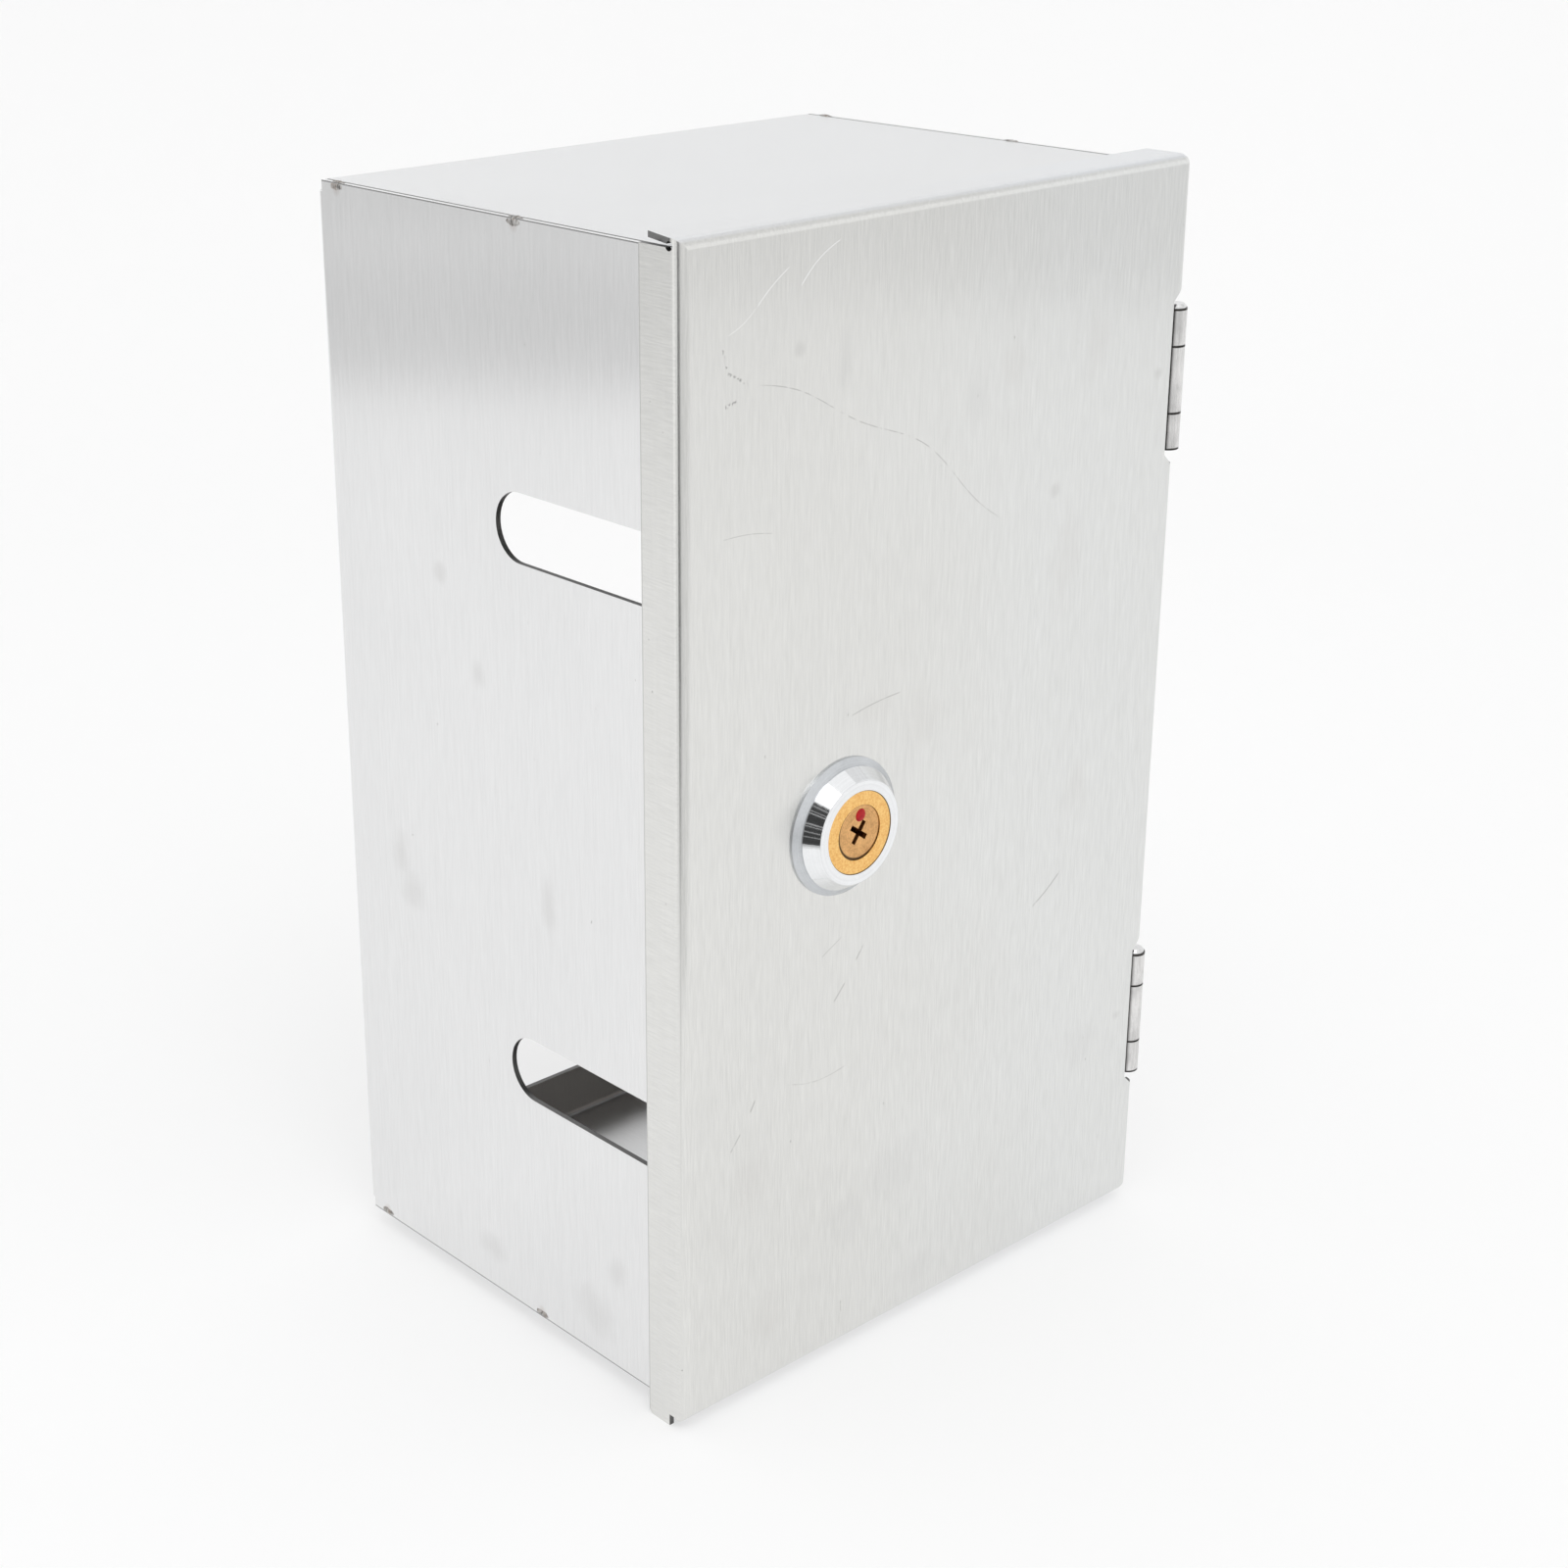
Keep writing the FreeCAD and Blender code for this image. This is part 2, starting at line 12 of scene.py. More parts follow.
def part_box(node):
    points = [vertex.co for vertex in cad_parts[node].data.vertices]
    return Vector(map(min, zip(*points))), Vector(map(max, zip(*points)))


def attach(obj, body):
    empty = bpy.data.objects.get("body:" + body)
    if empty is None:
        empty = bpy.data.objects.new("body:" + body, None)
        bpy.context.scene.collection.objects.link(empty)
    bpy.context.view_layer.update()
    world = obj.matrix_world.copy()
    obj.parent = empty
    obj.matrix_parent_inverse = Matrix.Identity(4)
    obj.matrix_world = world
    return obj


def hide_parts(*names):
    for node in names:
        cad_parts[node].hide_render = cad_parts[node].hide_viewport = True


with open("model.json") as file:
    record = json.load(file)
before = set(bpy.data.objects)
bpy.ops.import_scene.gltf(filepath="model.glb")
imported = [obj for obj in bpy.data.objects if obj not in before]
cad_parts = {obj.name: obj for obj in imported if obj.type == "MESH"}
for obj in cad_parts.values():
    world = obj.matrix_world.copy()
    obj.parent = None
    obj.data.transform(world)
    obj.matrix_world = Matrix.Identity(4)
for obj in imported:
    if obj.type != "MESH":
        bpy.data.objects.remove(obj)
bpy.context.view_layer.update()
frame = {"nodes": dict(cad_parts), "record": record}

MM = 0.001

# Corners of a mesh this close are one, and its faces part at this angle
same_point = 0.001 * MM
sheet_crease = math.radians(35)

# Camera, fitted to the photograph: place, direction, roll and the frame's offset from the lens axis
camera_place = Vector((-315.24, -330.77, 275.90)) * MM
camera_azimuth = math.radians(-40.652)
camera_elevation = math.radians(21.223)
camera_roll = math.radians(-0.646)
image_size = 1600
focal_pixels = 2676.5
centre_pixel_x = 647.0
centre_pixel_y = 767.8
sensor_width = 36.0

# Studio, laid out along the camera's own right and forward directions
table_left = -0.775
table_right = 0.98
table_near = -0.24
table_far = 0.75
sweep_radius = 0.25
sweep_height = 1.1
floor_white = 0.92
background_share = 0.5
key_direction = Vector((-0.35, -0.42, 0.84)).normalized()
key_distance = 1.2
key_width = 0.7
key_height = 0.5
key_radiance = 2.3

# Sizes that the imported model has, and places read from it
sheet = 1.0 * MM
weld_length = 3.6 * MM
left_flange_rear = -36.45 * MM
body_low, body_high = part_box("body_shell")
door_low, door_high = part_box("door_panel")
ring_low, ring_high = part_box("lock_base_ring")
plug_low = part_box("lock_plug")[0]
lock_x = (ring_low.x + ring_high.x) / 2
lock_z = (ring_low.z + ring_high.z) / 2
pin_low, pin_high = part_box("upper_hinge_pin")
hinge_x = (pin_low.x + pin_high.x) / 2
hinge_y = (pin_low.y + pin_high.y) / 2


class Shader:
    """One material: a Principled surface and the nodes that feed it, in the object's own coordinates."""

    def __init__(self, name, **constants):
        self.material = bpy.data.materials.new(name)
        self.material.use_nodes = True
        self.nodes = self.material.node_tree.nodes
        self.links = self.material.node_tree.links
        self.surface = self.nodes["Principled BSDF"]
        coordinates = self.node("TexCoord")
        self.point = coordinates.outputs["Object"]
        self.facing = coordinates.outputs["Normal"]
        for constant, value in constants.items():
            self.set(constant.replace("_", " ").title().replace("Ior", "IOR"), value)

    def node(self, kind, inputs=None, **settings):
        made = self.nodes.new("ShaderNode" + kind)
        for name, value in settings.items():
            setattr(made, name, value)
        for socket, value in (inputs or {}).items():
            self.feed(made.inputs[socket], value)
        return made

    def feed(self, socket, value):
        if isinstance(value, bpy.types.NodeSocket):
            self.links.new(value, socket)
        else:
            socket.default_value = value

    def set(self, socket, value):
        self.feed(self.surface.inputs[socket], value)

    def math(self, operation, *values):
        made = self.node("Math", dict(enumerate(values)), operation=operation)
        return made.outputs[0]

    def vector(self, operation, *values):
        made = self.node("VectorMath", dict(enumerate(values)), operation=operation)
        scalar = operation in ("DOT_PRODUCT", "LENGTH", "DISTANCE")
        return made.outputs["Value" if scalar else "Vector"]

    def scaled(self, colour, factor):
        """A colour made lighter or darker by a factor."""
        made = self.node("VectorMath", {0: colour, "Scale": factor}, operation="SCALE")
        return made.outputs["Vector"]

    def part(self, axis, vector=None):
        """One coordinate of a vector, by default of the point."""
        made = self.node("SeparateXYZ", {0: self.point if vector is None else vector})
        return made.outputs[axis]

    def spread(self, value, low, high, to_low=0.0, to_high=1.0):
        """Maps a value smoothly from one range to another and holds it at the ends."""
        made = self.node("MapRange", {0: value, 1: low, 2: high, 3: to_low, 4: to_high},
                         interpolation_type="SMOOTHSTEP")
        return made.outputs[0]

    def noise(self, grain, detail=2.0, roughness=0.5, shift=0.0, point=None):
        """Noise with a grain of the given lengths along X, Y and Z."""
        scale = tuple(1.0 / length for length in grain)
        place = self.vector("MULTIPLY_ADD", point or self.point, scale, (shift, shift, shift))
        made = self.node("TexNoise", {"Vector": place, "Scale": 1.0, "Detail": detail,
                                      "Roughness": roughness})
        return made.outputs[0]

    def mix(self, factor, first, second):
        made = self.node("Mix", {0: factor, 6: first, 7: second}, data_type="RGBA")
        return made.outputs[2]

    def blend(self, factor, first, second):
        """A number that goes from first to second with the factor."""
        made = self.node("Mix", {0: factor, 2: first, 3: second}, data_type="FLOAT")
        return made.outputs[0]

    def most(self, masks):
        """The strongest of several masks at each point."""
        total = masks[0]
        for mask in masks[1:]:
            total = self.math("MAXIMUM", total, mask)
        return total

    def times(self, *values):
        total = values[0]
        for value in values[1:]:
            total = self.math("MULTIPLY", total, value)
        return total

    def bump(self, height, distance, strength=1.0):
        made = self.node("Bump", {"Height": height, "Distance": distance, "Strength": strength})
        self.set("Normal", made.outputs[0])


def grey(level, warm=0.0):
    """A neutral colour, or with warm above or below zero a slightly yellow or blue one."""
    return (level * (1 + warm), level, level * (1 - warm), 1.0)


# Marks on flat sheet

def scratch_mask(shader, across, up, start, end, width, bow=0.0, wave=0.0):
    """A scratch between two points of a face, in mm, with a bow to one side and a slight wave."""
    length = math.hypot(end[0] - start[0], end[1] - start[1])
    along = ((end[0] - start[0]) / length, (end[1] - start[1]) / length)
    side = (-along[1], along[0])
    from_x = shader.math("SUBTRACT", across, start[0] * MM)
    from_z = shader.math("SUBTRACT", up, start[1] * MM)
    share = shader.math("MULTIPLY_ADD", from_x, along[0] / (length * MM),
                        shader.math("MULTIPLY", from_z, along[1] / (length * MM)))
    off = shader.math("MULTIPLY_ADD", from_x, side[0] / MM, shader.math("MULTIPLY", from_z, side[1] / MM))
    if bow:
        arch = shader.math("SINE", shader.math("MULTIPLY", share, math.pi))
        off = shader.math("MULTIPLY_ADD", arch, -bow, off)
    if wave:
        ripple = shader.math("SINE", shader.math("MULTIPLY", share, 4 * math.pi))
        off = shader.math("MULTIPLY_ADD", ripple, -wave, off)
    thin = shader.spread(shader.math("ABSOLUTE", off), width / 4, width, 1.0, 0.0)
    middle = shader.math("ABSOLUTE", shader.math("SUBTRACT", share, 0.5))
    return shader.times(thin, shader.spread(middle, 0.42, 0.5, 1.0, 0.0))


def smudge_mask(shader, across, up, ripple, centre, size):
    """A soft patch at a point of a face, in mm, with a ragged rim."""
    dx = shader.math("DIVIDE", shader.math("SUBTRACT", across, centre[0] * MM), size[0] * MM)
    dz = shader.math("DIVIDE", shader.math("SUBTRACT", up, centre[1] * MM), size[1] * MM)
    reach = shader.vector("LENGTH", shader.node("CombineXYZ", {0: dx, 1: dz}).outputs[0])
    return shader.spread(shader.math("ADD", reach, ripple), 0.15, 1.25, 1.0, 0.0)


def brushed_sheet(name, colour, roughness, grain, cross_brushed=None, dull_side=None):
    """Sheet with drawn brush lines: upright on walls and along Y on level faces.

    Returns the shader, its colour and the cloud that varies it.
    """
    shader = Shader(name, metallic=1.0, anisotropic=0.88)
    level = shader.spread(shader.math("ABSOLUTE", shader.part("Z", shader.facing)), 0.6, 0.8)
    fine = 0.26 * MM
    long = 5.0 * MM
    upright = shader.noise((fine, fine, long), detail=3.0, roughness=0.62)
    sideways = shader.noise((fine, long, fine), detail=3.0, roughness=0.62, shift=7.0)
    turned = level if cross_brushed is None else shader.most([level, cross_brushed(shader)])
    lines = shader.blend(turned, upright, sideways)
    broad = shader.noise((0.55 * MM, 0.55 * MM, 24 * MM), detail=2.0, shift=3.0)
    cloud = shader.noise((34 * MM, 34 * MM, 46 * MM), detail=3.0, shift=11.0)
    tone = shader.math("MULTIPLY_ADD", lines, grain, 1.0 - grain / 2)
    tone = shader.math("MULTIPLY_ADD", broad, 0.05, shader.math("SUBTRACT", tone, 0.025))
    tone = shader.math("MULTIPLY_ADD", cloud, 0.05, shader.math("SUBTRACT", tone, 0.025))
    # Level faces get one slightly bluer grey of their own: a painted reflection of the ceiling
    base = shader.scaled(shader.mix(level, colour, grey(0.805, -0.010)), tone)
    gloss = shader.math("MULTIPLY_ADD", lines, 0.4 * grain, roughness - 0.2 * grain)
    if dull_side:
        gloss = shader.math("MULTIPLY_ADD", dull_side(shader), 0.14, gloss)
    shader.set("Roughness", gloss)
    shader.bump(lines, 0.012 * MM, 0.75 * grain)
    brush = shader.node("Mix", {0: turned, 4: (0.0, 0.0, 1.0), 5: (0.0, 1.0, 0.0)}, data_type="VECTOR")
    world_brush = shader.node("VectorTransform", {0: brush.outputs[1]}, vector_type="VECTOR",
                              convert_from="OBJECT", convert_to="WORLD")
    normal = shader.node("NewGeometry").outputs["Normal"]
    shader.set("Tangent", shader.vector("CROSS_PRODUCT", normal, world_brush.outputs[0]))
    return shader, base, cloud


def make_brushed_body():
    """The box's sheet: handling smudges, a duller inner side with painted shade, heat tint at the welds, and
    painted shade and highlight along the corner seams.
    """
    shader, base, _ = brushed_sheet("brushed_body", grey(0.815, -0.002), 0.19, 0.15, dull_side=inner_side)
    across = shader.part("Y")
    up = shader.part("Z")
    outer = shader.spread(shader.part("X", shader.facing), -0.8, -0.6, 1.0, 0.0)
    ripple = shader.math("MULTIPLY_ADD", shader.noise((5 * MM, 5 * MM, 5 * MM), detail=4.0), 1.1, -0.55)
    grimy = [((33, 85), (3, 5)), ((30, 78), (4, 4)), ((-10, 88), (2.5, 6)), ((-20.6, 12.3), (6, 5)),
             ((9, 12), (5, 3)), ((-27, 23), (3, 4)), ((18, 142), (2, 2)), ((8, 126), (2.5, 3))]
    smudges = shader.most([smudge_mask(shader, across, up, ripple, *patch) for patch in grimy])
    base = shader.mix(shader.times(smudges, outer, 0.30), base, grey(0.60, 0.01))
    specks = shader.noise((1.1 * MM, 1.1 * MM, 1.5 * MM), detail=1.0, shift=21.0)
    base = shader.mix(shader.times(shader.spread(specks, 0.80, 0.84), 0.55), base, grey(0.36, 0.03))
    # Painted shade inside the box: the inner sides darkened, most on the back frame
    inner_shade_colour = shader.vector("MULTIPLY", base, (0.36, 0.33, 0.31))
    base = shader.mix(shader.times(painted_inner_shade(shader), 0.9), base, inner_shade_colour)
    base = shader.mix(shader.times(weld_heat(shader), 0.24), base, (0.42, 0.32, 0.27, 1.0))
    seam_shade, rim = corner_shade_and_highlight(shader)
    # Painted highlight on the wall's sheet end, then painted shade in the seam and under the wall's edge
    base = shader.mix(shader.times(rim, 0.8), base, grey(0.95))
    shader.set("Base Color", shader.mix(shader.times(seam_shade, 0.75), base, grey(0.10)))
    return shader.material


def inner_side(shader):
    """The sides of the box's sheet that face its middle."""
    to_middle = shader.vector("SUBTRACT", (body_low + body_high) / 2, shader.point)
    return shader.spread(shader.vector("DOT_PRODUCT", shader.facing, to_middle), 0.0, 2 * MM)


def painted_inner_shade(shader):
    """Painted shade on the inner side: full on the back frame and weaker on the walls towards the door."""
    frame_side = shader.spread(shader.part("Y", shader.facing), -0.8, -0.5, 1.0, 0.0)
    deep = shader.spread(shader.part("Y"), -34 * MM, 44 * MM, 0.0, 0.24)
    return shader.times(inner_side(shader), shader.most([frame_side, deep]))


def weld_places():
    """Each corner weld: its middle on the wall's edge, and the signs of X inward and of Z into the wall."""
    low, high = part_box("corner_tack_welds")
    depths = (low.y + weld_length / 2, high.y - weld_length / 2)
    return [(Vector((x, y, z)), inward, down) for x, inward in ((body_low.x, 1), (body_high.x, -1))
            for y in depths for z, down in ((body_low.z, 1), (body_high.z, -1))]


def weld_heat(shader):
    """Brown heat tint on the wall below each weld."""
    reach = 1.5 * MM
    below = 1.2 * MM
    spots = []
    for place, inward, down in weld_places():
        gap = shader.vector("DISTANCE", shader.point, place + Vector((0, 0, down * below)))
        spots.append(shader.spread(gap, 0.2 * MM, reach, 1.0, 0.0))
    return shader.most(spots)


def corner_shade_and_highlight(shader):
    """Two masks along the corner seams: painted shade in the seam and just under the wall's edge, and a
    painted highlight on the sheet end between.
    """
    middle = (body_low + body_high) / 2
    from_side = shader.math("ABSOLUTE", shader.math("SUBTRACT", shader.part("X"), middle.x))
    inset = shader.math("SUBTRACT", body_high.x - middle.x, from_side)
    from_end = shader.math("ABSOLUTE", shader.math("SUBTRACT", shader.part("Z"), middle.z))
    below = shader.math("SUBTRACT", body_high.z - middle.z, from_end)
    level = shader.spread(shader.math("ABSOLUTE", shader.part("Z", shader.facing)), 0.6, 0.8)
    upright = shader.spread(shader.math("ABSOLUTE", shader.part("X", shader.facing)), 0.6, 0.8)
    off_seam = shader.math("ABSOLUTE", shader.math("SUBTRACT", inset, sheet + 0.12 * MM))
    seam_shade = shader.times(level, shader.spread(off_seam, 0.22 * MM, 0.42 * MM, 1.0, 0.0))
    edge = shader.times(upright, shader.spread(below, 0.08 * MM, 0.32 * MM, 1.0, 0.0))
    rim = shader.times(level, shader.spread(inset, 0.62 * MM, 0.76 * MM, 1.0, 0.0))
    return shader.most([seam_shade, edge]), rim


def make_brushed_door():
    """The door's sheet: slightly warm, with the scratches, scuffs and smudges of a handled sample, and
    painted shade in its dents and along the flange's rear edge.
    """
    def on_flange(shader):
        return shader.spread(shader.part("X", shader.facing), -0.9, -0.7, 1.0, 0.0)

    shader, base, cloud = brushed_sheet("brushed_door", (0.754, 0.753, 0.734, 1.0), 0.20, 0.26, on_flange)
    across = shader.part("X")
    up = shader.part("Z")
    front = shader.spread(shader.part("Y", shader.facing), -0.8, -0.6, 1.0, 0.0)
    cool = shader.spread(shader.math("MULTIPLY_ADD", cloud, 60 * MM, across), 0.0, 75 * MM)
    base = shader.mix(shader.times(cool, 0.6), base, shader.vector("MULTIPLY", base, (1.006, 1.022, 1.044)))
    ripple = shader.math("MULTIPLY_ADD", shader.noise((4 * MM, 4 * MM, 4 * MM), detail=4.0), 1.1, -0.55)

    def patches(places):
        return shader.most([smudge_mask(shader, across, up, ripple, *place) for place in places])

    brown = [((35.6, 178), (4, 7)), ((-5.6, 119), (6, 7)), ((-41, 15.7), (5, 6)), ((-17, 124), (7, 3)),
             ((14, 177), (4, 5)), ((30, 140), (5, 10)), ((36, 95), (4, 6)), ((-45.5, 44), (5, 7))]
    base = shader.mix(shader.times(patches(brown), front, 0.15), base, grey(0.60, 0.035))
    dull = [((-9.5, 33), (9, 7)), ((-22, 28), (6, 6)), ((-3, 9), (6, 4)), ((5.5, 173), (3, 5)),
            ((-25.7, 184), (2, 7)), ((41.5, 40), (5, 6)), ((-38, 108), (3, 5))]
    base = shader.mix(shader.times(patches(dull), front, 0.15), base, grey(0.58, 0.0))
    # Painted shade of small dents: dark round spots on the front
    dent_shade = [((-35.7, 187.4), (1.3, 1.3)), ((26.3, 153.1), (1.4, 1.4)), ((52.8, 169.6), (1.4, 1.1)),
             ((52.2, 43.1), (1.4, 1.1))]
    base = shader.mix(shader.times(patches(dent_shade), front, 0.20), base, grey(0.44, 0.02))

    def scratches(lines):
        return shader.most([scratch_mask(shader, across, up, *line) for line in lines])

    broken = shader.spread(shader.noise((1.6 * MM, 1.6 * MM, 1.6 * MM), detail=2.0, shift=5.0), 0.36, 0.5)
    pale = [((-27, 203.3), (-35.8, 197), 0.15, -0.8), ((-38, 200.5), (-45, 195.1), 0.11, -0.3),
            ((-45, 195.1), (-51, 191.6), 0.06, 0.4)]
    base = shader.mix(shader.times(scratches(pale), front, 0.85), base, grey(0.97))
    dark = [((-46, 183.4), (13.4, 150.4), 0.12, 4.3, 0.9), ((33.1, 79.5), (25.4, 74.3), 0.22, 0.3),
            ((-18.7, 80.8), (-20.5, 78.4), 0.2), ((-23, 75), (-25.7, 72.1), 0.2),
            ((-44.2, 59.8), (-45.3, 57.8), 0.24), ((-47.5, 54.6), (-49.9, 51.7), 0.18),
            ((-36.9, 60.1), (-22.2, 58.8), 0.10, -1.2),
            ((-22.5, 10.8), (-22.4, 8.5), 0.2), ((-23, 123.9), (-10.9, 125.3), 0.14, 0.3),
            ((-24, 84), (-29, 81.5), 0.10), ((-52, 160), (-41, 159), 0.08, 0.4)]
    base = shader.mix(shader.times(scratches(dark), front, broken, 0.5), base, grey(0.34, 0.03))
    dotted = shader.spread(shader.noise((0.5 * MM, 0.5 * MM, 0.5 * MM), detail=1.0, shift=8.0), 0.48, 0.56)
    nicks = [((-52, 189.8), (-51, 186.5), 0.26), ((-51, 186), (-46.5, 183.6), 0.34),
             ((-49, 181.5), (-51.5, 180.7), 0.45)]
    base = shader.mix(shader.times(scratches(nicks), front, dotted, 0.6), base, grey(0.28, 0.03))
    specks = shader.noise((1.2 * MM, 1.2 * MM, 1.2 * MM), detail=1.0, shift=31.0)
    base = shader.mix(shader.times(shader.spread(specks, 0.79, 0.83), 0.6), base, grey(0.34, 0.04))
    # Painted shadow of the flange's rear edge: a thin dark line along it
    flange_edge_shade = shader.spread(shader.part("Y"), left_flange_rear - 0.34 * MM, left_flange_rear - 0.12 * MM)
    base = shader.mix(shader.times(flange_edge_shade, on_flange(shader), 0.35), base, grey(0.30))
    behind_bend = shader.spread(shader.part("Y"), door_low.y + 1.7 * MM, door_low.y + 2.2 * MM)
    top_end = shader.spread(up, door_high.z - 1.05 * sheet, door_high.z - 0.97 * sheet)
    end_face = shader.spread(shader.part("X", shader.facing), -0.8, -0.6, 1.0, 0.0)
    sheared = shader.times(top_end, behind_bend, end_face)
    base = shader.mix(shader.times(sheared, 0.9), base, shader.mix(ripple, grey(0.10), grey(0.26)))
    shader.set("Base Color", base)
    return shader.material


def make_cut_edge():
    """Raw sheared edges of the sheet: dark, with a fine torn grain."""
    shader = Shader("cut_edge", metallic=1.0)
    tears = shader.noise((0.22 * MM, 0.22 * MM, 0.22 * MM), detail=3.0)
    shader.set("Base Color", shader.mix(tears, grey(0.06, 0.01), grey(0.24, 0.01)))
    shader.set("Roughness", shader.math("MULTIPLY_ADD", tears, 0.3, 0.3))
    shader.bump(tears, 0.03 * MM, 0.5)
    return shader.material


def turned_metal(name, low, high, roughness, rings=0.0, blotch=0.0, joint_lines_and_gap_shade=()):
    """Turned or plated metal: fine marks round the lock's axis, pits and a cloud of tarnish.

    A dark rim is a dark joint line, and round the plug it is the painted shade of the gap: its radius, its
    width and a shift up and right, all in mm. The shift moves the line off the joint, so that it shows
    thicker at one side, as the gap's shadow does.
    """
    shader = Shader(name, metallic=1.0)
    from_axis = shader.vector("SUBTRACT", shader.point, (lock_x, 0.0, lock_z))
    offset = shader.vector("MULTIPLY", from_axis, (1.0, 0.0, 1.0))
    radius = shader.vector("LENGTH", offset)
    depth = shader.part("Y")
    place = shader.node("CombineXYZ", {0: radius, 1: depth, 2: 0.0}).outputs[0]
    lathe = shader.noise((0.16 * MM, 0.16 * MM, 1.0), detail=2.0, point=place)
    grain = shader.noise((0.35 * MM, 0.35 * MM, 0.35 * MM), detail=3.0, shift=4.0)
    cloud = shader.noise((2.6 * MM, 2.6 * MM, 2.6 * MM), detail=3.0, shift=9.0)
    pattern = shader.blend(rings, grain, lathe) if rings else grain
    shade = shader.math("MULTIPLY_ADD", cloud, blotch, shader.math("MULTIPLY", pattern, 1.0 - blotch))
    base = shader.mix(shader.spread(shade, 0.25, 0.75), low, high)
    for rim, width, shift in joint_lines_and_gap_shade:
        shifted = shader.vector("LENGTH", shader.vector("SUBTRACT", offset, (shift * MM, 0.0, shift * MM)))
        off = shader.math("ABSOLUTE", shader.math("SUBTRACT", shifted, rim * MM))
        line = shader.spread(off, width * MM / 3, width * MM, 0.9, 0.0)
        base = shader.mix(line, base, (0.03, 0.02, 0.012, 1.0))
    shader.set("Base Color", base)
    shader.set("Roughness", shader.math("MULTIPLY_ADD", pattern, roughness * 0.5, roughness * 0.75))
    shader.bump(pattern, 0.012 * MM, 0.3)
    return shader.material


def plain_steel(name, low, high, roughness, grain_length, stretch=1.0, bump=0.3):
    """Small steel parts: grain drawn along Z by a stretch, a cloud of handling and worn tone."""
    shader = Shader(name, metallic=1.0)
    fine = grain_length
    grain = shader.noise((fine, fine, fine * stretch), detail=3.0, roughness=0.6)
    cloud = shader.noise((6 * MM, 6 * MM, 9 * MM), detail=3.0, shift=13.0)
    shade = shader.math("MULTIPLY_ADD", cloud, 0.5, shader.math("MULTIPLY", grain, 0.5))
    shader.set("Base Color", shader.mix(shader.spread(shade, 0.3, 0.7), low, high))
    shader.set("Roughness", shader.math("MULTIPLY_ADD", grain, roughness * 0.5, roughness * 0.75))
    shader.bump(grain, 0.02 * MM, bump)
    return shader.material


def make_hinge_steel():
    """Rolled knuckles: drawn grain, dark lines where they part and painted shade on the side along the door's
    edge.
    """
    shader = Shader("hinge_steel", metallic=1.0)
    split_spans = (12.1 * MM, 25.3 * MM)
    grain = shader.noise((0.25 * MM, 0.25 * MM, 5 * MM), detail=3.0, roughness=0.6)
    cloud = shader.noise((3 * MM, 3 * MM, 5 * MM), detail=3.0, shift=13.0)
    shade = shader.math("MULTIPLY_ADD", cloud, 0.6, shader.math("MULTIPLY", grain, 0.4))
    base = shader.mix(shader.spread(shade, 0.3, 0.7), grey(0.56, 0.01), grey(0.82, 0.01))
    up = shader.part("Z")
    lines = []
    for leaf in ("upper_hinge_body_leaf", "lower_hinge_body_leaf"):
        low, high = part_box(leaf)
        middle = shader.math("ABSOLUTE", shader.math("SUBTRACT", up, (low.z + high.z) / 2))
        for span in split_spans:
            split = shader.math("ABSOLUTE", shader.math("SUBTRACT", middle, span / 2))
            lines.append(shader.spread(split, 0.12 * MM, 0.30 * MM, 1.0, 0.0))
    # Painted shade on the knuckles' side by the door's edge, where the gap to the door is
    from_axis = shader.vector("SUBTRACT", shader.point, (hinge_x, hinge_y, 0.0))
    reach = shader.vector("LENGTH", shader.vector("MULTIPLY", from_axis, (1.0, 1.0, 0.0)))
    on_knuckle = shader.spread(reach, 2.2 * MM, 2.4 * MM, 1.0, 0.0)
    shaded_door_side = shader.spread(shader.part("X"), hinge_x - 1.95 * MM, hinge_x - 1.35 * MM, 1.0, 0.0)
    side = shader.times(on_knuckle, shaded_door_side)
    shader.set("Base Color", shader.mix(shader.most(lines + [side]), base, grey(0.035, 0.08)))
    shader.set("Roughness", shader.math("MULTIPLY_ADD", grain, 0.16, 0.18))
    shader.bump(grain, 0.02 * MM, 0.3)
    return shader.material


def make_weld_bead():
    """Small tack welds: ripples of cooled metal, dark with brown and straw tints."""
    shader = Shader("weld_bead", metallic=1.0)
    ripple = shader.noise((0.9 * MM, 0.35 * MM, 0.9 * MM), detail=3.0)
    tint = shader.noise((1.4 * MM, 1.4 * MM, 1.4 * MM), detail=2.0, shift=6.0)
    dark = shader.mix(shader.spread(tint, 0.35, 0.65), grey(0.10, 0.03), (0.26, 0.21, 0.17, 1.0))
    shader.set("Base Color", shader.mix(shader.spread(ripple, 0.3, 0.75), dark, grey(0.62, 0.02)))
    shader.set("Roughness", shader.math("MULTIPLY_ADD", ripple, 0.2, 0.26))
    shader.bump(ripple, 0.08 * MM, 0.6)
    return shader.material


def make_red_enamel():
    """Red paint of the plug's index mark, uneven in tone."""
    shader = Shader("red_enamel", roughness=0.42, specular_ior_level=0.25)
    tone = shader.noise((0.6 * MM, 0.6 * MM, 0.6 * MM), detail=2.0)
    shader.set("Base Color", shader.mix(tone, (0.22, 0.002, 0.005, 1.0), (0.62, 0.008, 0.014, 1.0)))
    shader.bump(tone, 0.05 * MM, 0.4)
    return shader.material


